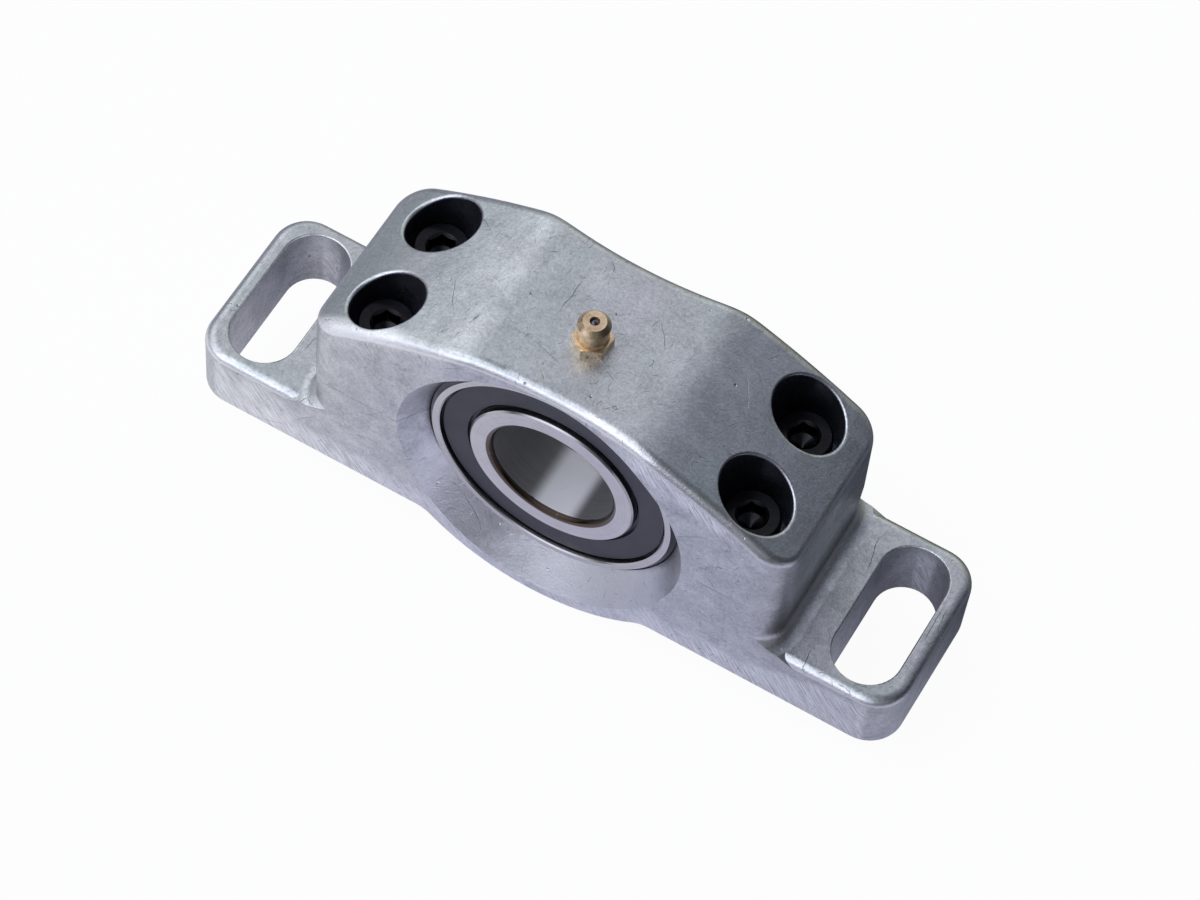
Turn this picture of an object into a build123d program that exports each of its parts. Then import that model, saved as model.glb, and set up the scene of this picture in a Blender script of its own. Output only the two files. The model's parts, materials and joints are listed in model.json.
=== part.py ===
from build123d import *
import os
from math import radians, sqrt, tan

# Driveshaft carrier bearing: a split aluminium housing with two slotted ears, clamped round a
# greasable double-row ball bearing. Millimetres. The origin is the centre of the bearing:
# +X runs along the housing, +Y along the bore from front to rear, +Z up to the grease fitting.

# Housing block, measured at the split plane
block_length = 118.4
block_width = 45.4
block_corner = 7.5
cap_draft = 0.8
base_draft = 2.8
edge_round = 2.75

# Top of the cap: a flat crown that slopes down to a shoulder at each end
crown_height = 35.9
crown_length = 44.4
crown_bend = 20.0
shoulder_height = 17.9
slope_radius = 167.0

# Shallow waist in the front and rear walls of the cap
waist_depth = 2.3
waist_length = 48.0
waist_blend = 30.0

# Ears, with vertical ends and sides that carry on from the block
ear_length = 177.6
ear_corner = 8.5
ear_top = -14.4
ear_thickness = 17.0
ear_draft = 0.3
ear_edge_round = 2.5
ear_root_round = 4.0
ear_root_ramp = 60.0

# Slots in the ears
slot_width = 15.9
slot_end_wall = 4.35
slot_side_wall = 3.45
slot_draft = 2.2
slot_rim_round = 0.5

# Belly under the bearing, concentric with it
belly_radius = 41.8
belly_blend = 6.5

# Seat of the bearing and the flared dish at each end of it
seat_length = 32.0
seat_clearance = 0.02
dish_depth = 6.0
dish_side_radius = 35.0
dish_bottom_radius = 39.3

# Cap screws, socket head M8
screw_diameter = 8.0
screw_length = 25.0
screw_head_diameter = 13.0
screw_head_height = 8.0
screw_head_chamfer = 0.6
screw_head_rise = 17.2
screw_tip_chamfer = 1.0
socket_across_flats = 6.0
socket_depth = 4.0
socket_drill_diameter = 5.8
socket_mouth_diameter = 7.4
socket_point = 1.4
counterbore_diameter = 16.3
counterbore_round = 0.7
counterbore_end_wall = 6.05
counterbore_side_wall = 2.95
screw_hole_clearance = 0.5
thread_clearance = 0.02
thread_run_out = 3.0

# Bearing, double row
bore_diameter = 30.0
bearing_diameter = 62.0
bearing_width = 34.0
bore_round = 1.6
joint_chamfer = 0.5
inner_ring_diameter = 40.8
inner_ring_chamfer = 0.35
outer_ring_chamfer = 1.3
outer_ring_bore = 51.2
seal_recess_diameter = 56.0
seal_recess_depth = 3.2
seal_recess_chamfer = 0.3
ball_diameter = 9.525
ball_count = 9
ball_pitch_diameter = 46.0
row_offset = 7.5
race_radius = 5.0
ball_clearance = 0.1

# Lubrication path through the outer ring and the cap
lube_groove_width = 8.0
lube_groove_depth = 1.0
lube_hole_diameter = 2.5
lube_hole_count = 3

# Cages, snapped over the balls from the seal side
cage_inner_diameter = 42.6
cage_outer_diameter = 49.4
cage_rib = 1.2
cage_finger_reach = 1.6
pocket_clearance = 0.15

# Seals
seal_inner_diameter = 42.8
seal_lip_clearance = 0.15
seal_face_diameter = 54.8
seal_setback = 1.1
seal_rim_setback = 2.2
seal_thickness = 1.85
seal_fit_clearance = 0.05
seal_lip_thickness = 0.8

# Grease fitting
fitting_x = -0.15
fitting_y = -3.1
fitting_turn = -5.0
fitting_hex = 8.0
fitting_hex_height = 2.3
fitting_hex_chamfer = 0.25
fitting_height = 8.1
fitting_thread_diameter = 6.35
fitting_thread_length = 4.0
barrel_diameter = 7.3
barrel_shoulder = 1.3
neck_diameter = 6.6
neck_flare = 0.3
tip_diameter = 5.2
mouth_diameter = 2.3
mouth_depth = 0.6
throat_diameter = 1.9
check_ball_diameter = 2.4
check_bore_clearance = 0.2
check_seat_gap = 0.02
spring_wire = 0.3
spring_turns = 4
spring_seat_height = 1.6
grease_hole_diameter = 1.6

# Values that follow from the sizes above
ear_bottom = ear_top - ear_thickness
ear_width = block_width + 2 * ear_top * tan(radians(base_draft))
slot_spacing = ear_length - 2 * slot_end_wall - slot_width
slot_straight = ear_width - 2 * slot_side_wall - slot_width
screw_spacing_x = block_length - 2 * counterbore_end_wall - counterbore_diameter
screw_spacing_y = block_width - 2 * counterbore_side_wall - counterbore_diameter
seat_radius = bearing_diameter / 2 + seat_clearance
ball_radius = ball_diameter / 2
pitch_radius = ball_pitch_diameter / 2
counterbore_floor = screw_head_rise - screw_head_height
screw_tip = counterbore_floor - screw_length
screw_spots = GridLocations(screw_spacing_x, screw_spacing_y, 2, 2).locations
fitting_spot = Pos(fitting_x, fitting_y, 0)
fitting_place = Pos(fitting_x, fitting_y, crown_height) * Rot(0, 0, fitting_turn)
fitting_foot = crown_height - fitting_thread_length
check_bore = check_ball_diameter / 2 + check_bore_clearance
check_seat = fitting_height - mouth_depth
check_drop = sqrt((check_ball_diameter / 2) ** 2 - (throat_diameter / 2) ** 2) + check_seat_gap
check_height = check_seat - check_drop
past = 5.0
tiny = 0.01


def turned(*points):
    """Solid of revolution about the bearing's axis from (radius, y) corners."""
    return revolve(make_face(Polyline(*points, close=True)), axis=Axis.Y)


def standing(*points):
    """Solid of revolution about a vertical axis from (radius, height) corners."""
    return revolve(make_face(Plane.XZ * Polyline(*points, close=True)), axis=Axis.Z)


def row_of_balls(radius, side):
    """The balls of one row, in order round the bearing from its top."""
    ball = Pos(0, side * row_offset, pitch_radius) * Sphere(radius)
    return [Rot(0, 360 * turn / ball_count, 0) * ball for turn in range(ball_count)]


def block_plan():
    """Plan of the block at the split, narrowed a little at its middle."""
    half_waist = waist_length / 2
    waist_radius = (half_waist**2 + waist_depth**2) / (2 * waist_depth)
    waist_centre = block_width / 2 - waist_depth + waist_radius
    plan = RectangleRounded(block_length, block_width, block_corner)
    for side in (-1, 1):
        plan -= Pos(0, side * waist_centre) * Circle(waist_radius)
    corners = [v for v in plan.vertices() if abs(v.X) < waist_length]
    return fillet(corners, waist_blend)


def crown_profile():
    """Front view of everything below the top surface of the cap."""
    half_crown = crown_length / 2
    flat = Line((-half_crown, crown_height), (half_crown, crown_height))
    slope = RadiusArc((half_crown, crown_height), (block_length / 2, shoulder_height), slope_radius)
    run_out = Line(slope @ 1, slope @ 1 + (slope % 1) * past)
    low = Vector((run_out @ 1).X, 0)
    half = Curve() + [slope, run_out, Line(run_out @ 1, low)]
    floor = Line(low, Vector(-low.X, 0))
    profile = make_face(Curve() + [flat, half, mirror(half, about=Plane.YZ), floor])
    bends = [v for v in profile.vertices() if abs(abs(v.X) - half_crown) < block_corner]
    return fillet(bends, crown_bend)


def dishes(depth_below):
    """Flares at both ends of the seat. Their rim reaches the given radius straight down."""
    start = seat_length / 2
    growth = (dish_depth + past) / dish_depth
    wide = seat_radius + (dish_side_radius - seat_radius) * growth
    tall = seat_radius + (depth_below - seat_radius) * growth
    inner = Plane.XZ.offset(start) * Circle(seat_radius)
    outer = Plane.XZ.offset(start + dish_depth + past) * Ellipse(wide, tall)
    front = loft([inner, outer])
    return Part() + [front, mirror(front, about=Plane.XZ)]


def seat_bore():
    return Rot(90, 0, 0) * Cylinder(seat_radius, block_width + past)


def upright(radius, bottom, top):
    """A vertical cylinder between two heights."""
    return Pos(0, 0, (bottom + top) / 2) * Cylinder(radius, top - bottom)


def housing_cap():
    """Upper half of the housing, with its counterbores and the tapped hole of the fitting."""
    block = extrude(block_plan(), amount=crown_height + past, taper=cap_draft)
    cap = block & extrude(Plane.XZ * crown_profile(), amount=block_width, both=True)
    top = [f for f in cap.faces() if f.normal_at().Z > 0.5]
    rim = [e for f in top for e in f.edges() if sum(e in g.edges() for g in top) == 1]
    cap = fillet(rim, edge_round)
    cap -= seat_bore()
    cap -= dishes(dish_side_radius)
    for spot in screw_spots:
        cap -= spot * upright(screw_diameter / 2 + screw_hole_clearance, -past, counterbore_floor)
        cap -= spot * upright(counterbore_diameter / 2, counterbore_floor, crown_height)
    cap = fillet([e for e in cap.edges() if is_counterbore_rim(e)], counterbore_round)
    tapped = fitting_thread_diameter / 2 + thread_clearance
    cap -= fitting_spot * upright(tapped, fitting_foot, crown_height + past)
    cap -= fitting_spot * upright(lube_hole_diameter / 2, 0, crown_height)
    return cap


def is_counterbore_rim(edge):
    """True for a curved edge that runs round the mouth of one of the counterbores."""
    start, reach = edge @ 0, counterbore_diameter / 2
    centres = [spot.position for spot in screw_spots]
    misses = [abs(sqrt((start.X - p.X) ** 2 + (start.Y - p.Y) ** 2) - reach) for p in centres]
    return edge.geom_type != GeomType.LINE and edge.center().Z > screw_head_rise and min(misses) < tiny


def belly_profile():
    """Front view of the ears and the belly, down from the tops of the ears."""
    reach = ear_length / 2 + past
    slab = Pos(0, (ear_top + ear_bottom) / 2) * Rectangle(2 * reach, ear_thickness)
    low = Pos(0, ear_bottom) * Rectangle(2 * reach, belly_radius)
    profile = slab + (Circle(belly_radius) & low)
    corners = [v for v in profile.vertices() if abs(v.Y - ear_bottom) < tiny and abs(v.X) < belly_radius]
    return fillet(corners, belly_blend)


def ears():
    """The slab that carries both ears and the belly, with its slots and rounded upper edges."""
    depth = belly_radius + ear_top + past
    plan = Plane.XY.offset(ear_top) * RectangleRounded(ear_length, ear_width, ear_corner)
    slab = extrude(plan, amount=-depth, taper=ear_draft)
    slab &= extrude(Plane.XZ * belly_profile(), amount=ear_width, both=True)
    slab = fillet(slab.faces().sort_by(Axis.Z)[-1].edges(), ear_edge_round)
    mouth = Plane.XY.offset(ear_top) * Rot(0, 0, 90) * SlotCenterToCenter(slot_straight, slot_width)
    cutter = extrude(mouth, amount=-ear_thickness, taper=slot_draft)
    for side in (-1, 1):
        slab -= Pos(side * slot_spacing / 2, 0, 0) * cutter
    return fillet([e for e in slab.edges() if is_slot_rim(e)], slot_rim_round)


def is_slot_rim(edge):
    """True for an edge that runs round the upper mouth of a slot."""
    middle = edge.center()
    across = abs(middle.X) - slot_spacing / 2
    along = max(0, abs(middle.Y) - slot_straight / 2)
    return abs(middle.Z - ear_top) < tiny and sqrt(across**2 + along**2) < slot_width / 2 + tiny


def housing_base():
    """Lower half of the housing. The rounded edges of its ears end in ramps at the roots."""
    shrink = block_width - ear_width
    split = RectangleRounded(block_length, block_width, block_corner)
    upper = extrude(split, amount=ear_top, taper=base_draft)
    foot = (block_length - shrink, ear_width, block_corner - shrink / 2)
    spread = [size + 2 * ear_root_round for size in foot[:2]]
    plate = Pos(0, 0, ear_top - past / 2) * Box(spread[0] + past, spread[1] + past, past)
    flared = upper + plate
    roots = [e for e in flared.edges() if is_ear_root(e)]
    flared = fillet(roots, ear_root_round)
    above = Plane.XY.offset(past) * Rectangle(ear_length, block_width + 2 * past * tan(radians(base_draft)))
    flared &= extrude(above, amount=ear_top - past, taper=base_draft)
    under = Plane.XY.offset(ear_top) * RectangleRounded(*spread, foot[2] + ear_root_round)
    core = extrude(under, amount=-ear_edge_round, taper=-ear_root_ramp)
    walls = Plane.XY.offset(ear_top) * Rectangle(ear_length, ear_width)
    core &= extrude(walls, amount=-ear_thickness, taper=ear_draft)
    base = ears() + core + flared
    base -= seat_bore()
    base -= dishes(dish_bottom_radius)
    tip = screw_tip - thread_run_out
    for spot in screw_spots:
        base -= spot * upright(screw_diameter / 2 + thread_clearance, tip, past)
    return base


def is_ear_root(edge):
    """True for an edge where the block stands on the level of the ear tops."""
    middle = edge.center()
    inside = abs(middle.X) < block_length / 2 and abs(middle.Y) < block_width / 2
    return abs(middle.Z - ear_top) < tiny and inside


def cap_screw():
    """Socket head screw, its chamfered head over a plain shank. The socket is drilled and countersunk."""
    head_radius = screw_head_diameter / 2
    head = upright(head_radius, counterbore_floor, screw_head_rise)
    head = chamfer(head.edges().sort_by(Axis.Z)[-1], screw_head_chamfer)
    shank = upright(screw_diameter / 2, screw_tip, counterbore_floor)
    shank = chamfer(shank.edges().sort_by(Axis.Z)[0], screw_tip_chamfer)
    bottom = screw_head_rise - socket_depth
    key = Plane.XY.offset(bottom) * hexagon(socket_across_flats)
    drill, mouth = socket_drill_diameter / 2, socket_mouth_diameter / 2
    drilled = standing(
        (0, bottom - socket_point), (drill, bottom), (drill, screw_head_rise + drill - mouth),
        (mouth, screw_head_rise), (0, screw_head_rise),
    )
    return head + shank - extrude(key, amount=socket_depth) - drilled


def hexagon(across_flats):
    return RegularPolygon(across_flats / 2, 6, major_radius=False)


def outer_ring():
    """Outer ring with a race for each row, seal recesses and a lubrication groove."""
    radius, half, chamfer_size = bearing_diameter / 2, bearing_width / 2, outer_ring_chamfer
    recess, land = seal_recess_diameter / 2, outer_ring_bore / 2
    shelf = half - seal_recess_depth
    groove = lube_groove_width / 2
    mouth = seal_recess_chamfer
    deep = radius - lube_groove_depth
    ring = turned(
        (recess + mouth, -half), (radius - chamfer_size, -half), (radius, -half + chamfer_size),
        (radius, -groove), (deep, -groove), (deep, groove), (radius, groove),
        (radius, half - chamfer_size), (radius - chamfer_size, half), (recess + mouth, half),
        (recess, half - mouth), (recess, shelf), (land, shelf), (land, -shelf), (recess, -shelf),
        (recess, -half + mouth),
    )
    bottom = pitch_radius + ball_radius + ball_clearance
    for side in (-1, 1):
        ring -= race(bottom - race_radius, side)
    for turn in range(lube_hole_count):
        ring -= Rot(0, 360 * turn / lube_hole_count, 0) * upright(lube_hole_diameter / 2, 0, radius)
    return ring


def race(centre_radius, side):
    """Cutter for the groove that one row of balls runs in."""
    return Pos(0, side * row_offset, 0) * Rot(90, 0, 0) * Torus(centre_radius, race_radius)


def inner_ring(side):
    """One half of the split inner ring. The halves meet at the middle of the bearing."""
    bore, land, half = bore_diameter / 2, inner_ring_diameter / 2, bearing_width / 2
    ring = turned(
        (bore + joint_chamfer, 0), (land, 0), (land, side * (half - inner_ring_chamfer)),
        (land - inner_ring_chamfer, side * half), (bore, side * half), (bore, side * joint_chamfer),
    )
    rims = ring.edges().filter_by(GeomType.CIRCLE)
    ring = fillet(rims.sort_by(lambda rim: side * rim.center().Y - rim.radius)[-1], bore_round)
    bottom = pitch_radius - ball_radius - ball_clearance
    return ring - race(bottom + race_radius, side)


def cage(side):
    """Crown cage: a ring on the seal side with open pockets that snap over the balls."""
    inner, outer = cage_inner_diameter / 2, cage_outer_diameter / 2
    pocket = ball_radius + pocket_clearance
    near = side * (row_offset - cage_finger_reach)
    far = side * (row_offset + pocket + cage_rib)
    ring = turned((inner, near), (outer, near), (outer, far), (inner, far))
    for ball in row_of_balls(pocket, side):
        ring -= ball
    return ring


def seal(side):
    """Rubber seal held in the recess of the outer ring, with a lip beside the inner ring."""
    half = bearing_width / 2
    outer, face = seal_recess_diameter / 2 - seal_fit_clearance, seal_face_diameter / 2
    front, rim = side * (half - seal_setback), side * (half - seal_rim_setback)
    back = side * (half - seal_setback - seal_thickness)
    lip = inner_ring_diameter / 2 + seal_lip_clearance
    lip_front = back + side * seal_lip_thickness
    throat = seal_inner_diameter / 2
    return turned(
        (lip, back), (outer, back), (outer, rim), (face, rim), (face, front),
        (throat, front), (throat, lip_front), (lip, lip_front),
    )


def grease_fitting_body():
    """Brass fitting: threaded foot, hexagon, flared neck and nipple, bored through for the ball."""
    thread, neck = fitting_thread_diameter / 2, neck_diameter / 2
    barrel, tip = barrel_diameter / 2, tip_diameter / 2
    foot, top = -fitting_thread_length, fitting_height
    shoulder = top - barrel_shoulder
    flange = fitting_hex / 2
    nipple = standing(
        (0, foot), (thread, foot), (thread, 0), (flange, 0), (flange, fitting_hex_height),
        (neck + neck_flare, fitting_hex_height), (neck, fitting_hex_height + 2 * neck_flare),
        (barrel, shoulder), (tip, top), (0, top),
    )
    nut = extrude(Rot(0, 0, 30) * hexagon(fitting_hex), amount=fitting_hex_height)
    corner = fitting_hex / sqrt(3)
    trim = standing(
        (0, 0), (corner - fitting_hex_chamfer, 0), (corner, fitting_hex_chamfer / 2),
        (corner, fitting_hex_height - fitting_hex_chamfer / 2),
        (corner - fitting_hex_chamfer, fitting_hex_height), (0, fitting_hex_height),
    )
    body = nipple + (nut & trim)
    seat = top - mouth_depth
    bore = check_bore
    body -= standing(
        (0, foot), (grease_hole_diameter / 2, foot), (grease_hole_diameter / 2, foot + spring_seat_height),
        (bore, foot + spring_seat_height), (bore, check_height), (throat_diameter / 2, seat),
        (mouth_diameter / 2, top), (0, top),
    )
    return fitting_place * body


def grease_fitting_ball():
    return fitting_place * Pos(0, 0, check_height) * Sphere(check_ball_diameter / 2)


def grease_fitting_spring():
    """Helical spring under the ball."""
    radius = check_bore - check_bore_clearance - spring_wire / 2
    bottom = spring_seat_height - fitting_thread_length + spring_wire / 2
    top = check_height - sqrt((check_ball_diameter / 2 + spring_wire / 2) ** 2 - radius**2)
    path = Pos(0, 0, bottom) * Helix((top - bottom) / spring_turns, top - bottom, radius)
    section = Plane(origin=path @ 0, z_dir=path % 0) * RegularPolygon(spring_wire / 2, 6)
    return fitting_place * sweep(section, path)


sides = {"front": -1, "rear": 1}
parts = {
    "housing_base": housing_base(),
    "housing_cap": housing_cap(),
    "outer_ring": outer_ring(),
    "grease_fitting_body": grease_fitting_body(),
    "grease_fitting_ball": grease_fitting_ball(),
    "grease_fitting_spring": grease_fitting_spring(),
}
for row, side in sides.items():
    parts[f"{row}_inner_ring"] = inner_ring(side)
    parts[f"{row}_cage"] = cage(side)
    parts[f"{row}_seal"] = seal(side)
    for number, ball in enumerate(row_of_balls(ball_radius, side), start=1):
        parts[f"{row}_ball_{number}"] = ball
for spot in screw_spots:
    row = "front" if spot.position.Y < 0 else "rear"
    hand = "left" if spot.position.X < 0 else "right"
    parts[f"cap_screw_{row}_{hand}"] = spot * cap_screw()

os.makedirs("parts", exist_ok=True)
for name, solid in parts.items():
    export_step(solid, f"parts/{name}.step")
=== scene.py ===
import bpy, bmesh, json
from math import radians, sin, cos
from mathutils import Vector, Matrix


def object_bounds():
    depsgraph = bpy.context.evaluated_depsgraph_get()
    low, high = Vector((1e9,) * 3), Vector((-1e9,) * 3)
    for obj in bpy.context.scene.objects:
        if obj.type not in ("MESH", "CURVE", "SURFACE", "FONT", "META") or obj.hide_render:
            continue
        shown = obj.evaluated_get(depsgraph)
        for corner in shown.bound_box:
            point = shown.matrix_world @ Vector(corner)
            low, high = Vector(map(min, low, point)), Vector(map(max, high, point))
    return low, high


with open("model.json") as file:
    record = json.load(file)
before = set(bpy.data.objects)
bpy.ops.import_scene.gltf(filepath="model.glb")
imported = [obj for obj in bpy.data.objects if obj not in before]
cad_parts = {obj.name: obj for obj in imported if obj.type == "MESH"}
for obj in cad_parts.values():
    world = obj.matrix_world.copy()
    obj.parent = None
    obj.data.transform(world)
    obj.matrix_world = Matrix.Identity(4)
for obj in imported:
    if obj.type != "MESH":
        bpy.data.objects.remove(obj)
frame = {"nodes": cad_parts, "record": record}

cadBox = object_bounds()  # the CAD model's own box
nodes = frame["nodes"]
scene = bpy.context.scene
scene.view_settings.view_transform = "Standard"
mm = 0.001
print("frame loaded:", len(nodes), "nodes")


# Small helpers for node trees

def place(tree, kind, **settings):
    node = tree.nodes.new("ShaderNode" + kind)
    for name, value in settings.items():
        setattr(node, name, value)
    return node


def feed(tree, socket, value):
    if isinstance(value, bpy.types.NodeSocket):
        tree.links.new(value, socket)
    else:
        socket.default_value = value


def number(tree, operation, *values, clamp=False):
    node = place(tree, "Math", operation=operation, use_clamp=clamp)
    for socket, value in zip(node.inputs, values):
        feed(tree, socket, value)
    return node.outputs[0]


def product(tree, first, *others):
    for other in others:
        first = number(tree, "MULTIPLY", first, other)
    return first


def centred(tree, value):
    return number(tree, "SUBTRACT", value, 0.5)


def absolute(tree, value):
    return number(tree, "ABSOLUTE", value)


def vector(tree, operation, *values):
    node = place(tree, "VectorMath", operation=operation)
    slots = [node.inputs[0], node.inputs[1]]
    if operation == "SCALE":
        slots[1] = node.inputs["Scale"]
    for socket, value in zip(slots, values):
        feed(tree, socket, value)
    return node.outputs["Value" if operation in ("DOT_PRODUCT", "LENGTH", "DISTANCE") else "Vector"]


def components(tree, value):
    node = place(tree, "SeparateXYZ")
    feed(tree, node.inputs[0], value)
    return node.outputs


def ramp(tree, value, low, high, outLow=0.0, outHigh=1.0):
    node = place(tree, "MapRange", interpolation_type="SMOOTHSTEP")  # eased, so that no mask has a hard kink
    for socket, given in zip(node.inputs, (value, low, high, outLow, outHigh)):
        feed(tree, socket, given)
    return node.outputs[0]


def blendColour(tree, factor, first, second, mode="MIX"):
    node = place(tree, "Mix", data_type="RGBA", blend_type=mode)
    feed(tree, node.inputs["Factor"], factor)
    for name, value in (("A", first), ("B", second)):
        socket = [s for s in node.inputs if s.name == name and s.type == "RGBA"][0]
        feed(tree, socket, value)
    return [s for s in node.outputs if s.type == "RGBA"][0]


def tinted(tree, colour, tint):
    return blendColour(tree, 1.0, colour, tint, "MULTIPLY")


def noise(tree, where, scale, detail=3.0, rough=0.5, distortion=0.0, colour=False):
    node = place(tree, "TexNoise")
    given = {"Vector": where, "Scale": scale, "Detail": detail, "Roughness": rough, "Distortion": distortion}
    for name, value in given.items():
        feed(tree, node.inputs[name], value)
    return node.outputs[1 if colour else 0]


def newGroup(name, inputs, outputs):
    tree = bpy.data.node_groups.new(name, "ShaderNodeTree")
    for title, value in inputs.items():
        kind = "NodeSocketVector" if value is None else "NodeSocketFloat"
        socket = tree.interface.new_socket(name=title, in_out="INPUT", socket_type=kind)
        if value is not None:
            socket.default_value = value
    for title in outputs:
        tree.interface.new_socket(name=title, in_out="OUTPUT", socket_type="NodeSocketFloat")
    return tree, tree.nodes.new("NodeGroupInput").outputs, tree.nodes.new("NodeGroupOutput").inputs


def useGroup(tree, group, **values):
    node = place(tree, "Group", node_tree=group)
    for name, value in values.items():
        feed(tree, node.inputs[name], value)
    return node.outputs


# Shared surface effects, each built once as a group

def makeCloud():
    # stains and brightness changes, from broad to fine
    tree, given, out = newGroup("cloudStain", {"Vector": None, "Size": 0.012, "Contrast": 0.5}, ["Tone"])
    scale = number(tree, "DIVIDE", 1.0, given["Size"])
    broad = noise(tree, given["Vector"], scale, 2.0, 0.5, 0.6)
    fine = noise(tree, given["Vector"], number(tree, "MULTIPLY", scale, 4.7), 5.0, 0.62, 0.3)
    mixed = number(tree, "ADD", product(tree, broad, 0.55), product(tree, fine, 0.45))
    spread = product(tree, centred(tree, mixed), given["Contrast"])
    feed(tree, out["Tone"], number(tree, "ADD", spread, 0.5, clamp=True))
    return tree


def makeGrain():
    # fine blasted texture
    tree, given, out = newGroup("fineGrain", {"Vector": None, "Size": 0.0004}, ["Height"])
    scale = number(tree, "DIVIDE", 1.0, given["Size"])
    grain = noise(tree, given["Vector"], scale, 3.0, 0.6)
    swell = noise(tree, given["Vector"], number(tree, "MULTIPLY", scale, 0.22), 2.0, 0.5)
    feed(tree, out["Height"], number(tree, "ADD", product(tree, grain, 0.6), product(tree, swell, 0.4)))
    return tree


def inCells(tree, where, spacing, share):
    # random points about the given distance apart, and which of them are used
    cells = place(tree, "TexVoronoi", feature="F1", voronoi_dimensions="3D")
    feed(tree, cells.inputs["Vector"], where)
    feed(tree, cells.inputs["Scale"], number(tree, "DIVIDE", 1.0, spacing))
    chance = place(tree, "TexWhiteNoise", noise_dimensions="3D")
    feed(tree, chance.inputs["Vector"], cells.outputs["Color"])
    return cells, number(tree, "LESS_THAN", chance.outputs["Value"], share)


def withoutPart(tree, given, direction):
    # what is left of a vector when its part along a unit direction is taken off
    share = vector(tree, "DOT_PRODUCT", given, direction)
    return vector(tree, "SUBTRACT", given, vector(tree, "SCALE", direction, share))


def makeScratches():
    # one scratch or hair in each cell, lying in the surface at a random angle
    inputs = {
        "Vector": None, "Normal": None, "Spacing": 0.01, "Width": 0.0001, "Length": 0.005, "Share": 0.5,
        "Offset": 0.0, "Bend": 0.0,
    }
    tree, given, out = newGroup("scratchMarks", inputs, ["Mask"])
    normal = given["Normal"]
    shifted = vector(tree, "ADD", given["Vector"], vector(tree, "SCALE", (1.0, 0.7, 0.4), given["Offset"]))
    sway = vector(tree, "SUBTRACT", noise(tree, shifted, 260.0, 2.0, 0.5, colour=True), (0.5, 0.5, 0.5))
    bent = vector(tree, "ADD", shifted, vector(tree, "SCALE", sway, given["Bend"]))
    cells, kept = inCells(tree, bent, given["Spacing"], given["Share"])
    local = vector(tree, "SUBTRACT", bent, cells.outputs["Position"])
    flat = withoutPart(tree, local, normal)
    aim = withoutPart(tree, vector(tree, "SUBTRACT", cells.outputs["Color"], (0.5, 0.5, 0.5)), normal)
    aim = vector(tree, "NORMALIZE", aim)
    along = vector(tree, "DOT_PRODUCT", flat, aim)
    across = vector(tree, "LENGTH", vector(tree, "SUBTRACT", flat, vector(tree, "SCALE", aim, along)))
    wobble = noise(tree, shifted, 420.0, 2.0, 0.5)
    width = product(tree, given["Width"], number(tree, "ADD", wobble, 0.4))
    line = ramp(tree, across, width, product(tree, width, 0.3))
    ends = ramp(tree, absolute(tree, along), given["Length"], product(tree, given["Length"], 0.3))
    feed(tree, out["Mask"], product(tree, line, ends, kept))
    return tree


def makePits():
    # small round dings, a few of many cells
    inputs = {"Vector": None, "Spacing": 0.003, "Size": 0.0004, "Share": 0.2}
    tree, given, out = newGroup("smallPits", inputs, ["Mask"])
    cells, kept = inCells(tree, given["Vector"], given["Spacing"], given["Share"])
    spread = number(tree, "DIVIDE", given["Size"], given["Spacing"])
    dot = ramp(tree, cells.outputs["Distance"], spread, product(tree, spread, 0.35))
    feed(tree, out["Mask"], product(tree, dot, kept))
    return tree


def makeBrush():
    # hatch of a grinding belt: noise drawn out along one direction
    inputs = {"Vector": None, "Direction": None, "Pitch": 0.0003, "Run": 0.006}
    tree, given, out = newGroup("brushHatch", inputs, ["Hatch"])
    aim = vector(tree, "NORMALIZE", given["Direction"])
    along = vector(tree, "DOT_PRODUCT", given["Vector"], aim)
    rest = withoutPart(tree, given["Vector"], aim)
    fine = vector(tree, "SCALE", rest, number(tree, "DIVIDE", 1.0, given["Pitch"]))
    drawn = vector(tree, "ADD", fine, vector(tree, "SCALE", aim, number(tree, "DIVIDE", along, given["Run"])))
    feed(tree, out["Hatch"], noise(tree, drawn, 1.0, 3.0, 0.65))
    return tree


def makeTurned():
    # concentric tool marks round an axis
    inputs = {"Vector": None, "Axis": None, "Pitch": 0.0003}
    tree, given, out = newGroup("turnedMarks", inputs, ["Marks", "Radius"])
    axis = vector(tree, "NORMALIZE", given["Axis"])
    along = vector(tree, "DOT_PRODUCT", given["Vector"], axis)
    radius = vector(tree, "LENGTH", withoutPart(tree, given["Vector"], axis))
    pair = place(tree, "CombineXYZ")
    feed(tree, pair.inputs[0], number(tree, "DIVIDE", radius, given["Pitch"]))
    feed(tree, pair.inputs[1], number(tree, "DIVIDE", along, given["Pitch"]))
    feed(tree, out["Marks"], noise(tree, pair.outputs[0], 1.0, 3.0, 0.6))
    feed(tree, out["Radius"], radius)
    return tree


cloudStain = makeCloud()
fineGrain = makeGrain()
scratchMarks = makeScratches()
smallPits = makePits()
brushHatch = makeBrush()
turnedMarks = makeTurned()
print("surface effects built:", len(bpy.data.node_groups))


finishes = {}


def newMaterial(slot, name, **constants):
    finishes[slot] = material = bpy.data.materials.new(name)
    material.use_nodes = True
    tree = material.node_tree
    shader = tree.nodes["Principled BSDF"]
    for title, value in constants.items():
        shader.inputs[title.replace("_", " ")].default_value = value
    where = place(tree, "TexCoord").outputs["Object"]
    normal = place(tree, "NewGeometry").outputs["Normal"]
    return tree, shader, where, normal


def bumpFrom(tree, shader, height, distance, strength=1.0, before=None):
    node = place(tree, "Bump")
    node.inputs["Strength"].default_value = strength
    node.inputs["Distance"].default_value = distance
    feed(tree, node.inputs["Height"], height)
    if before is not None:
        feed(tree, node.inputs["Normal"], before)
    tree.links.new(node.outputs[0], shader.inputs["Normal"])
    return node.outputs[0]


# Cast aluminium of the housing

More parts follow.
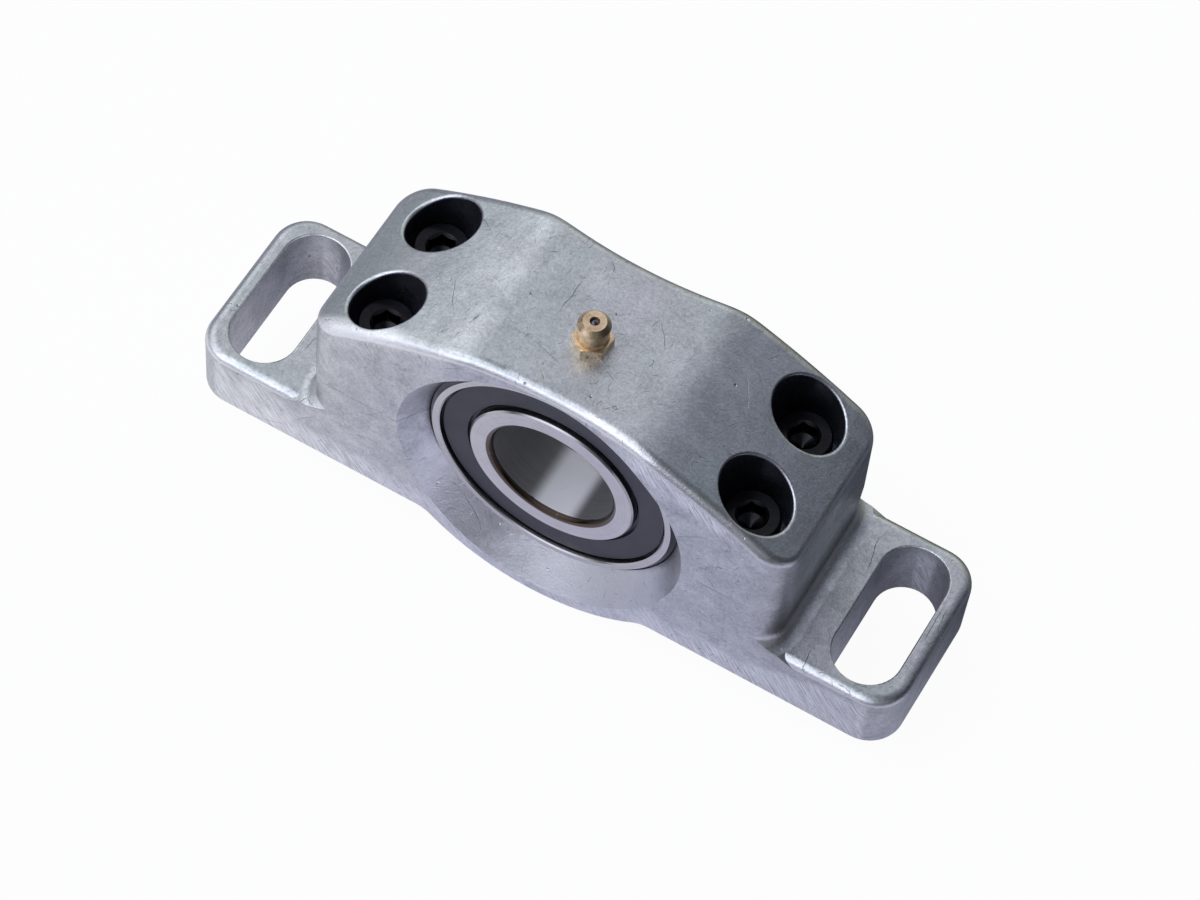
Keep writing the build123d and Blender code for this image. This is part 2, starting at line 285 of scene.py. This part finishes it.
beltValues = {
    "underside": -31.4 * mm, "crown": 34.8 * mm, "wander": 95.0, "wanderHeight": 0.012, "streakHeight": 0.005,
    "ears": (0.052, 0.07), "earReach": (6.5 * mm, 14.5 * mm), "softness": 0.002,
    "belly": (0.02, 0.05), "bellyShare": 0.55, "crownFlat": 0.018, "crownBend": 11.5,
    "underEdge": (0.0085, 0.003), "left": (-0.02, -0.034), "leftShare": 0.45,
    "rightStart": (0.015, 0.022), "rightEnd": (0.049, 0.043), "rightShare": 1.3, "upright": (0.93, 0.985),
}


def beltMask(tree, where, facing, hatch, values):
    # where a grinding belt has touched the front and rear walls: low on the ears and under the top edge
    x, y, z = components(tree, where)
    wander = centred(tree, noise(tree, where, values["wander"], 3.0, 0.6))
    wander = product(tree, wander, values["wanderHeight"])
    streak = product(tree, centred(tree, hatch), values["streakHeight"])
    height = number(tree, "ADD", z, number(tree, "ADD", wander, streak))
    span = absolute(tree, x)
    reach = ramp(tree, span, *values["ears"], *(values["underside"] + rise for rise in values["earReach"]))
    low = ramp(tree, number(tree, "SUBTRACT", height, reach), values["softness"], -values["softness"])
    low = product(tree, low, ramp(tree, span, *values["belly"], values["bellyShare"], 1.0))
    past = number(tree, "MAXIMUM", number(tree, "SUBTRACT", span, values["crownFlat"]), 0.0)
    edge = number(tree, "SUBTRACT", values["crown"], product(tree, past, past, values["crownBend"]))
    under = ramp(tree, number(tree, "SUBTRACT", edge, height), *values["underEdge"])
    left = product(tree, ramp(tree, x, *values["left"]), values["leftShare"])
    right = product(tree, ramp(tree, x, *values["rightStart"]), ramp(tree, x, *values["rightEnd"]))
    high = product(tree, under, number(tree, "MAXIMUM", left, product(tree, right, values["rightShare"])))
    upright = ramp(tree, absolute(tree, facing[1]), *values["upright"])
    return product(tree, number(tree, "MAXIMUM", low, high), upright)


filedValues = {
    "rag": 0.012, "depthRag": 0.35, "leftEnd": (-0.0575, -0.054), "rightEnd": (-0.031, -0.041),
    "depth": (-0.0172, -0.0192), "upward": (0.25, 0.5),
}


def filedMask(tree, where, facing, hatch, values):
    # a bright filed patch on the rounded edge at the front left, with ragged ends
    x, y, z = components(tree, where)
    rag = product(tree, centred(tree, hatch), values["rag"])
    along = number(tree, "ADD", x, rag)
    ends = product(tree, ramp(tree, along, *values["leftEnd"]), ramp(tree, along, *values["rightEnd"]))
    depth = ramp(tree, number(tree, "ADD", y, product(tree, rag, values["depthRag"])), *values["depth"])
    return product(tree, ends, depth, ramp(tree, facing[2], *values["upward"]))


holeShadeValues = {
    "screwX": 45.0 * mm, "screwY": 11.6 * mm, "radius": 8.15 * mm, "rim": (0.4 * mm, 0.08 * mm),
    "above": (0.001, 0.003),
}


def paintedHoleShadeMask(tree, where, values):
    # painted shade on the walls of the four counterbores, up to where their rims turn over
    x, y, z = components(tree, where)
    pair = place(tree, "CombineXYZ")
    feed(tree, pair.inputs[0], number(tree, "SUBTRACT", absolute(tree, x), values["screwX"]))
    feed(tree, pair.inputs[1], number(tree, "SUBTRACT", absolute(tree, y), values["screwY"]))
    radius = vector(tree, "LENGTH", pair.outputs[0])
    near = ramp(tree, radius, *(values["radius"] + rise for rise in values["rim"]))
    return product(tree, near, ramp(tree, z, *values["above"]))


dishShadeValues = {
    "sloping": (0.9, 0.8), "upward": (0.0, 0.25), "below": (0.0, -0.004), "span": (0.043, 0.039),
    "right": (-0.005, 0.03),
}


def paintedDishShadeMask(tree, where, facing, values):
    # painted shade on the floor of the recess round the bearing, towards its right side
    x, y, z = components(tree, where)
    sloping = ramp(tree, absolute(tree, facing[1]), *values["sloping"])
    upward = ramp(tree, facing[2], *values["upward"])
    below = ramp(tree, z, *values["below"])
    span = ramp(tree, absolute(tree, x), *values["span"])
    return product(tree, sloping, upward, below, span, ramp(tree, x, *values["right"]))


seamValues = {"line": (0.00014, 0.00006), "patches": 120.0, "open": (0.42, 0.56), "upright": (0.3, 0.15)}


def seamMask(tree, where, lean, values):
    # the line between base and cap, where it isn't smeared shut
    line = ramp(tree, absolute(tree, components(tree, where)[2]), *values["line"])
    parted = ramp(tree, noise(tree, where, values["patches"], 2.0, 0.5), *values["open"])
    return product(tree, line, ramp(tree, lean, *values["upright"]), parted)


castValues = {
    "dark": (0.36, 0.37, 0.38, 1.0), "light": (0.62, 0.63, 0.635, 1.0), "topLightTint": (0.96, 1.0, 0.975, 1.0),
    "ground": (0.88, 0.88, 0.89, 1.0), "filed": (1.0, 1.0, 1.0, 1.0), "scar": (0.13, 0.135, 0.14, 1.0),
    "nick": (0.92, 0.93, 0.95, 1.0), "paintedHoleShade": (0.36, 0.37, 0.43, 1.0), "dishShadeTint": (0.58, 0.59, 0.62, 1.0),
    "joint": (0.07, 0.07, 0.075, 1.0), "roughLow": 0.27, "roughHigh": 0.38,
    "stain": {"Size": 0.007, "Contrast": 1.9}, "speckle": 1500.0, "speckleShare": 1.9, "greenPatches": 48.0,
    "grain": {"Size": 0.0005}, "grainHeight": 0.00008, "swell": 140.0, "swellHeight": 0.00025,
    "hatch": {"Direction": (0.55, 0.0, -0.83), "Pitch": 0.0003, "Run": 0.007},
    "scratch": {"Spacing": 0.019, "Width": 0.00011, "Length": 0.006, "Share": 0.45, "Bend": 0.001},
    "hair": {
        "Spacing": 0.0052, "Width": 0.00014, "Length": 0.0016, "Share": 0.5, "Offset": 0.031, "Bend": 0.004},
    "fluff": {
        "Spacing": 0.0027, "Width": 0.0001, "Length": 0.0008, "Share": 0.5, "Offset": 0.057, "Bend": 0.003},
    "fibrePatches": 60.0, "pits": {"Spacing": 0.0036, "Size": 0.0004, "Share": 0.1},
    "dings": {"Spacing": 0.0052, "Size": 0.0005, "Share": 0.09}, "edge": ((0.18, 0.42), (0.86, 0.7)),
}


def castAluminium(values):
    tree, shader, where, normal = newMaterial("cast_aluminium", "castAluminium", Metallic=1.0)
    facing = components(tree, normal)
    lean = absolute(tree, facing[2])
    stain = useGroup(tree, cloudStain, Vector=where, **values["stain"])[0]
    speckle = centred(tree, noise(tree, where, values["speckle"], 4.0, 0.7))
    tone = number(tree, "ADD", stain, product(tree, speckle, values["speckleShare"]), clamp=True)
    grain = useGroup(tree, fineGrain, Vector=where, **values["grain"])[0]
    hatch = useGroup(tree, brushHatch, Vector=where, **values["hatch"])[0]
    scratch, hair, fluff = [
        useGroup(tree, scratchMarks, Vector=where, Normal=normal, **values[kind])[0]
        for kind in ("scratch", "hair", "fluff")]
    pits, dings = [useGroup(tree, smallPits, Vector=where, **values[kind])[0] for kind in ("pits", "dings")]
    belt = beltMask(tree, where, facing, hatch, beltValues)
    filed = filedMask(tree, where, facing, hatch, filedValues)
    paintedHoleShade = paintedHoleShadeMask(tree, where, holeShadeValues)
    paintedDishShade = paintedDishShadeMask(tree, where, facing, dishShadeValues)
    seam = seamMask(tree, where, lean, seamValues)
    edge = product(tree, *(ramp(tree, lean, *ends) for ends in values["edge"]))  # rounded edges lightened: partly real wear, partly painted highlight
    fibres = number(tree, "MAXIMUM", product(tree, hair, 0.72), product(tree, fluff, 0.5))
    patches = noise(tree, where, values["fibrePatches"], 2.0, 0.5)
    fibres = product(tree, fibres, ramp(tree, patches, 0.4, 0.6, 0.35, 1.0))
    colour = blendColour(tree, tone, values["dark"], values["light"])
    # in patches, upward faces take a greenish tint: a painted tint of the light from above
    patches = noise(tree, where, values["greenPatches"], 2.0, 0.5)
    paintedTopLightTint = product(tree, ramp(tree, patches, 0.4, 0.6), ramp(tree, facing[2], 0.5, 0.8))
    colour = blendColour(tree, paintedTopLightTint, colour, tinted(tree, colour, values["topLightTint"]))
    lines = ramp(tree, hatch, 0.4, 0.62)
    belted = product(tree, belt, number(tree, "ADD", product(tree, lines, 0.8), 0.12))
    colour = blendColour(tree, belted, colour, values["ground"])
    bright = product(tree, filed, number(tree, "ADD", product(tree, lines, 0.45), 0.55))
    colour = blendColour(tree, bright, colour, values["filed"])
    # sloped and rounded edges lightened, partly wear and partly painted highlight
    colour = blendColour(tree, product(tree, edge, 0.75), colour, values["ground"])
    colour = blendColour(tree, product(tree, scratch, 0.55), colour, values["scar"])
    colour = blendColour(tree, fibres, colour, values["scar"])
    colour = blendColour(tree, product(tree, pits, 0.6), colour, values["scar"])
    colour = blendColour(tree, product(tree, dings, 0.7), colour, values["nick"])
    # painted shade darkens the walls of the counterbores
    colour = blendColour(tree, paintedHoleShade, colour, tinted(tree, colour, values["paintedHoleShade"]))
    # painted shade on the right side of the recess round the bearing
    colour = blendColour(tree, product(tree, paintedDishShade, 0.9), colour, tinted(tree, colour, values["dishShadeTint"]))
    colour = blendColour(tree, product(tree, seam, 0.7), colour, values["joint"])
    feed(tree, shader.inputs["Base Color"], colour)
    touched = number(tree, "MAXIMUM", belt, filed)
    rough = ramp(tree, stain, 0.1, 0.9, values["roughHigh"], values["roughLow"])
    rough = number(tree, "ADD", rough, product(tree, touched, 0.08))
    feed(tree, shader.inputs["Roughness"], number(tree, "ADD", rough, product(tree, grain, 0.06)))
    relief = number(tree, "ADD", grain, product(tree, hatch, touched, 0.9))
    relief = number(tree, "SUBTRACT", relief, product(tree, number(tree, "MAXIMUM", scratch, fibres), 0.7))
    relief = number(tree, "SUBTRACT", relief, product(tree, number(tree, "MAXIMUM", pits, dings), 1.6))
    swell = bumpFrom(tree, shader, noise(tree, where, values["swell"], 3.0, 0.5), values["swellHeight"], 0.5)
    bumpFrom(tree, shader, relief, values["grainHeight"], 1.0, swell)


# Ground bearing steel of the rings and balls

ringValues = {
    "dark": (0.44, 0.43, 0.42, 1.0), "light": (0.57, 0.56, 0.545, 1.0), "brown": (0.04, 0.028, 0.02, 1.0),
    "warm": (0.11, 0.085, 0.07, 1.0), "darkFinishAndShade": (0.05, 0.052, 0.06, 1.0), "paintedHighlight": (0.95, 0.95, 0.97, 1.0),
    "shade": (0.5, 0.5, 0.52, 1.0), "roughLow": 0.16, "roughHigh": 0.28, "markHeight": 0.000006,
    "marks": {"Axis": (0.0, 1.0, 0.0), "Pitch": 0.00016}, "stain": {"Size": 0.006, "Contrast": 0.9},
    "nicks": {"Spacing": 0.005, "Width": 0.00005, "Length": 0.0018, "Share": 0.25},
    "bandCentre": 4.0, "bandHalf": 27.0, "bandMetal": (0.25, 0.62),
    "boreRadius": 15.0 * mm, "boreCorner": 16.6 * mm, "outerCorner": 29.35 * mm,
}


def groundSteel(values):
    tree, shader, where, normal = newMaterial("bearing_steel", "groundSteel", Metallic=1.0)
    marks, radius = useGroup(tree, turnedMarks, Vector=where, **values["marks"])
    stain = useGroup(tree, cloudStain, Vector=where, **values["stain"])[0]
    nicks = useGroup(tree, scratchMarks, Vector=where, Normal=normal, **values["nicks"])[0]
    tone = number(tree, "ADD", product(tree, marks, 0.6), product(tree, stain, 0.4))
    colour = blendColour(tree, ramp(tree, tone, 0.3, 0.7), values["dark"], values["light"])
    # painted light in the bore: a painted highlight band along its length, and painted shade round the rest
    bore, corner, outer = values["boreRadius"], values["boreCorner"], values["outerCorner"]
    x, y, z = components(tree, where)
    angle = number(tree, "ARCTAN2", x, product(tree, z, -1.0))
    off = absolute(tree, number(tree, "SUBTRACT", angle, radians(values["bandCentre"])))
    highlightBand = ramp(tree, off, radians(values["bandHalf"]), radians(values["bandHalf"] * 0.45))
    inBore = ramp(tree, radius, bore + 0.2 * mm, bore + 0.1 * mm)
    paintedBoreLight = blendColour(tree, highlightBand, tinted(tree, colour, values["shade"]), values["paintedHighlight"])
    colour = blendColour(tree, inBore, colour, paintedBoreLight)
    # the corner of the bore is grey-brown outside and oiled dark brown inside
    lean = absolute(tree, components(tree, normal)[1])
    turned = product(tree, ramp(tree, lean, 0.12, 0.22), ramp(tree, lean, 0.985, 0.96))
    turned = product(tree, turned, ramp(tree, radius, corner + 0.5 * mm, corner + 0.2 * mm))
    oiled = ramp(tree, radius, bore + 0.7 * mm, bore + 0.45 * mm)
    colour = blendColour(tree, turned, colour, blendColour(tree, oiled, values["warm"], values["brown"]))
    # and the outer ring's corner is darkened: partly its own unground dark finish, partly painted shade from
    # the gap round it
    rim = ramp(tree, radius, outer + 0.02 * mm, outer + 0.16 * mm)
    rim = product(tree, rim, ramp(tree, lean, 0.995, 0.97))
    colour = blendColour(tree, product(tree, rim, 0.9), colour, values["darkFinishAndShade"])
    colour = blendColour(tree, product(tree, nicks, 0.5), colour, values["dark"])
    feed(tree, shader.inputs["Base Color"], colour)
    rough = ramp(tree, tone, 0.25, 0.75, values["roughHigh"], values["roughLow"])
    feed(tree, shader.inputs["Roughness"], number(tree, "ADD", rough, product(tree, inBore, 0.3)))
    dimmed = product(tree, inBore, ramp(tree, highlightBand, 0.0, 1.0, *values["bandMetal"]))
    feed(tree, shader.inputs["Metallic"], number(tree, "SUBTRACT", 1.0, dimmed))
    bumpFrom(tree, shader, number(tree, "SUBTRACT", marks, nicks), values["markHeight"])


# Rubber of the seals

rubberValues = {
    "dark": (0.020, 0.021, 0.029, 1.0), "light": (0.040, 0.042, 0.056, 1.0), "dust": (0.16, 0.16, 0.17, 1.0),
    "marks": {"Axis": (0.0, 1.0, 0.0), "Pitch": 0.00045}, "stain": {"Size": 0.007, "Contrast": 1.6},
    "grain": {"Size": 0.00025}, "specks": {"Spacing": 0.0024, "Size": 0.00022, "Share": 0.12},
    "markHeight": 0.00003,
}


def sealRubber(values):
    shine = {"Metallic": 0.0, "Specular_IOR_Level": 0.4}
    tree, shader, where, normal = newMaterial("seal_rubber", "sealRubber", **shine)
    marks = useGroup(tree, turnedMarks, Vector=where, **values["marks"])[0]
    stain = useGroup(tree, cloudStain, Vector=where, **values["stain"])[0]
    grain = useGroup(tree, fineGrain, Vector=where, **values["grain"])[0]
    specks = useGroup(tree, smallPits, Vector=where, **values["specks"])[0]
    colour = blendColour(tree, stain, values["dark"], values["light"])
    colour = blendColour(tree, product(tree, specks, 0.5), colour, values["dust"])
    feed(tree, shader.inputs["Base Color"], colour)
    feed(tree, shader.inputs["Roughness"], ramp(tree, stain, 0.2, 0.8, 0.4, 0.52))
    relief = number(tree, "ADD", product(tree, marks, 0.6), product(tree, grain, 0.4))
    bumpFrom(tree, shader, relief, values["markHeight"])


# Black oxide of the screws

oxideValues = {
    "dark": (0.006, 0.006, 0.007, 1.0), "light": (0.018, 0.018, 0.02, 1.0), "worn": (0.08, 0.075, 0.072, 1.0),
    "stain": {"Size": 0.003, "Contrast": 1.8}, "grain": {"Size": 0.0002}, "grainHeight": 0.00002,
    "nicks": {"Spacing": 0.0028, "Width": 0.00006, "Length": 0.001, "Share": 0.3},
    "screwX": 45.0 * mm, "screwY": 11.6 * mm, "knurlFrom": 5.85 * mm, "knurlTeeth": 44.0,
    "knurlHeight": 0.00025,
}


def blackOxide(values):
    coat = {"Coat_Weight": 0.2, "Coat_Roughness": 0.12}
    tree, shader, where, normal = newMaterial("black_oxide_steel", "blackOxide", Metallic=1.0, **coat)
    stain = useGroup(tree, cloudStain, Vector=where, **values["stain"])[0]
    grain = useGroup(tree, fineGrain, Vector=where, **values["grain"])[0]
    x, y, z = components(tree, where)
    across = number(tree, "SUBTRACT", absolute(tree, x), values["screwX"])
    depth = number(tree, "SUBTRACT", absolute(tree, y), values["screwY"])
    angle = number(tree, "ARCTAN2", depth, across)
    teeth = ramp(tree, number(tree, "SINE", product(tree, angle, values["knurlTeeth"])), -0.5, 0.5)
    squares = number(tree, "ADD", product(tree, across, across), product(tree, depth, depth))
    reach = number(tree, "SQRT", squares)
    knurl = product(tree, teeth, ramp(tree, reach, values["knurlFrom"], values["knurlFrom"] + 0.1 * mm))
    lean = absolute(tree, components(tree, normal)[2])
    edge = product(tree, ramp(tree, lean, 0.3, 0.5), ramp(tree, lean, 0.92, 0.8))
    nicks = useGroup(tree, scratchMarks, Vector=where, Normal=normal, **values["nicks"])[0]
    colour = blendColour(tree, stain, values["dark"], values["light"])
    wear = number(tree, "ADD", product(tree, edge, 0.35), product(tree, nicks, 0.4), clamp=True)
    colour = blendColour(tree, wear, colour, values["worn"])
    feed(tree, shader.inputs["Base Color"], colour)
    feed(tree, shader.inputs["Roughness"], ramp(tree, stain, 0.2, 0.8, 0.42, 0.26))
    fine = bumpFrom(tree, shader, grain, values["grainHeight"])
    bumpFrom(tree, shader, knurl, values["knurlHeight"], 0.8, fine)


# Brass of the grease fitting

brassValues = {
    "dark": (0.46, 0.32, 0.18, 1.0), "light": (0.88, 0.70, 0.47, 1.0), "centre": (-0.15 * mm, -3.1 * mm, 0.0),
    "marks": {"Axis": (0.0, 0.0, 1.0), "Pitch": 0.00022}, "stain": {"Size": 0.0024, "Contrast": 1.7},
    "nicks": {"Spacing": 0.0022, "Width": 0.00005, "Length": 0.0009, "Share": 0.35}, "markHeight": 0.000012,
}


def turnedBrass(values):
    tree, shader, where, normal = newMaterial("brass", "turnedBrass", Metallic=1.0)
    fromCentre = vector(tree, "SUBTRACT", where, values["centre"])
    marks = useGroup(tree, turnedMarks, Vector=fromCentre, **values["marks"])[0]
    stain = useGroup(tree, cloudStain, Vector=where, **values["stain"])[0]
    nicks = useGroup(tree, scratchMarks, Vector=where, Normal=normal, **values["nicks"])[0]
    tone = number(tree, "ADD", product(tree, marks, 0.45), product(tree, stain, 0.55))
    colour = blendColour(tree, ramp(tree, tone, 0.3, 0.7), values["dark"], values["light"])
    colour = blendColour(tree, product(tree, nicks, 0.5), colour, values["dark"])
    feed(tree, shader.inputs["Base Color"], colour)
    feed(tree, shader.inputs["Roughness"], ramp(tree, tone, 0.3, 0.7, 0.38, 0.25))
    bumpFrom(tree, shader, number(tree, "SUBTRACT", marks, nicks), values["markHeight"])


# Hidden pieces: cages and spring

nylonValues = {
    "dark": (0.42, 0.36, 0.24, 1.0), "light": (0.66, 0.59, 0.44, 1.0),
    "stain": {"Size": 0.005, "Contrast": 1.5}, "grain": {"Size": 0.0003}, "grainHeight": 0.00002,
}


def cageNylon(values):
    tree, shader, where, normal = newMaterial("cage_nylon", "cageNylon", Metallic=0.0, Subsurface_Weight=0.05)
    stain = useGroup(tree, cloudStain, Vector=where, **values["stain"])[0]
    grain = useGroup(tree, fineGrain, Vector=where, **values["grain"])[0]
    feed(tree, shader.inputs["Base Color"], blendColour(tree, stain, values["dark"], values["light"]))
    feed(tree, shader.inputs["Roughness"], ramp(tree, stain, 0.2, 0.8, 0.55, 0.4))
    bumpFrom(tree, shader, grain, values["grainHeight"])


wireValues = {
    "dark": (0.3, 0.29, 0.28, 1.0), "light": (0.6, 0.6, 0.6, 1.0), "stain": {"Size": 0.0008, "Contrast": 1.6},
    "stainHeight": 0.00001,
}


def springWire(values):
    tree, shader, where, normal = newMaterial("spring_steel", "springWire", Metallic=1.0)
    stain = useGroup(tree, cloudStain, Vector=where, **values["stain"])[0]
    feed(tree, shader.inputs["Base Color"], blendColour(tree, stain, values["dark"], values["light"]))
    feed(tree, shader.inputs["Roughness"], ramp(tree, stain, 0.2, 0.8, 0.42, 0.26))
    bumpFrom(tree, shader, stain, values["stainHeight"])


castAluminium(castValues)
groundSteel(ringValues)
sealRubber(rubberValues)
blackOxide(oxideValues)
turnedBrass(brassValues)
cageNylon(nylonValues)
springWire(wireValues)
for entry in frame["record"]["subparts"]:
    nodes[entry["node"]].data.materials[0] = finishes[entry["material_slot"]]
print("finishes on the CAD pieces:", len(finishes))


# Camera, fitted to the photograph

cameraValues = {
    "azimuth": 23.5012, "elevation": 58.9156, "roll": 7.3471, "lens": 129.94, "sensor": 36.0,
    "place": (2.291, -6.527, 942.3), "nearest": 0.05, "farthest": 20.0,
}


def makeCamera(values):
    a, e, r = (radians(values[k]) for k in ("azimuth", "elevation", "roll"))
    back = Vector((sin(a) * cos(e), -cos(a) * cos(e), sin(e)))
    right = Vector((cos(a), sin(a), 0.0))
    up = back.cross(right)
    across = right * cos(r) + up * sin(r)
    upward = up * cos(r) - right * sin(r)
    data = bpy.data.cameras.new("photoCamera")
    data.lens, data.sensor_width, data.sensor_fit = values["lens"], values["sensor"], "HORIZONTAL"
    data.clip_start, data.clip_end = values["nearest"], values["farthest"]
    camera = bpy.data.objects.new("photoCamera", data)
    scene.collection.objects.link(camera)
    side, height, distance = values["place"]
    centre = (across * side + upward * height + back * distance) * mm
    turn = Matrix((across, upward, back)).transposed().to_4x4()
    camera.matrix_world = Matrix.Translation(centre) @ turn
    scene.camera = camera


makeCamera(cameraValues)


# Floor and world. The world holds broad soft lights, each by azimuth, elevation, half width and colour.

studioValues = {
    "floorSize": 3.0, "floorTone": (0.86, 0.87, 0.88, 1.0), "white": (1.0, 1.0, 1.0, 1.0), "whiteShare": 0.95,
    "frontGlow": ((0.9, 0.91, 1.0, 1.0), (0.72, 0.73, 0.94, 1.0), (0.54, 0.55, 0.69, 1.0)),
    "rearGlow": ((0.25, 0.25, 0.34, 1.0), (0.02, 0.02, 0.03, 1.0), (0.09, 0.1, 0.13, 1.0)),
    "glowReach": 0.09, "glowDepth": 0.03, "ambient": (0.015, 0.016, 0.017),
}
lightValues = {
    "frontLeft": (-30, 45, 45, (1.8, 1.87, 2.2)), "left": (-90, 45, 42, (1.19, 1.24, 1.29)),
    "rearLeft": (-150, 45, 42, (0.54, 0.54, 0.62)), "rearRight": (150, 47, 42, (0.29, 0.31, 0.4)),
    "frontRight": (35, 45, 45, (0.2, 0.21, 0.23)), "lowRear": (180, 14, 45, (0.45, 0.47, 0.36)),
    "lowRearLeft": (-135, 14, 45, (0.29, 0.31, 0.36)),
}


def makeFloor(values):
    mesh = bpy.data.meshes.new("studioFloor")
    shape = bmesh.new()
    bmesh.ops.create_grid(shape, x_segments=2, y_segments=2, size=values["floorSize"])
    bmesh.ops.translate(shape, verts=shape.verts, vec=(0.0, 0.0, cadBox[0][2]))
    shape.to_mesh(mesh)
    shape.free()
    floor = bpy.data.objects.new("studioFloor", mesh)
    scene.collection.objects.link(floor)
    material = bpy.data.materials.new("paleFloor")
    material.use_nodes = True
    tree = material.node_tree
    tree.nodes.remove(tree.nodes["Principled BSDF"])
    rays = place(tree, "LightPath").outputs
    mirrored = number(tree, "MAXIMUM", rays["Is Glossy Ray"], rays["Is Transmission Ray"])
    x, y, z = components(tree, place(tree, "TexCoord").outputs["Object"])
    reach, depth = values["glowReach"], values["glowDepth"]
    rows = []
    for left, middle, right in (values["frontGlow"], values["rearGlow"]):
        row = blendColour(tree, ramp(tree, x, 0.0, -reach), middle, left)
        rows.append(blendColour(tree, ramp(tree, x, 0.0, reach), row, right))
    glowing = blendColour(tree, ramp(tree, y, -depth, depth), *rows)
    matte, glow, mix = place(tree, "BsdfDiffuse"), place(tree, "Emission"), place(tree, "MixShader")
    matte.inputs["Color"].default_value = values["floorTone"]
    feed(tree, glow.inputs["Color"], blendColour(tree, mirrored, values["white"], glowing))
    seen = product(tree, rays["Is Camera Ray"], values["whiteShare"])
    feed(tree, mix.inputs[0], number(tree, "MAXIMUM", mirrored, seen))
    tree.links.new(matte.outputs[0], mix.inputs[1])
    tree.links.new(glow.outputs[0], mix.inputs[2])
    tree.links.new(mix.outputs[0], tree.nodes["Material Output"].inputs[0])
    mesh.materials.append(material)


def makeWorld(values, lights):
    world = bpy.data.worlds.new("studioWorld")
    world.use_nodes = True
    scene.world = world
    tree = world.node_tree
    background = tree.nodes["Background"]
    aim = place(tree, "TexCoord").outputs["Generated"]
    total = values["ambient"]
    for azimuth, elevation, spread, colour in lights.values():
        a, e = radians(azimuth), radians(elevation)
        centre = (sin(a) * cos(e), -cos(a) * cos(e), sin(e))
        lobe = ramp(tree, vector(tree, "DOT_PRODUCT", aim, centre), cos(radians(spread)), 1.0)
        total = vector(tree, "ADD", total, vector(tree, "SCALE", colour, lobe))
    direct = place(tree, "LightPath").outputs["Is Camera Ray"]
    feed(tree, background.inputs["Color"], blendColour(tree, direct, total, values["white"]))
    background.inputs["Strength"].default_value = 1.0


makeFloor(studioValues)
makeWorld(studioValues, lightValues)
print("studio ready: floor and", len(lightValues), "soft lights in the world")
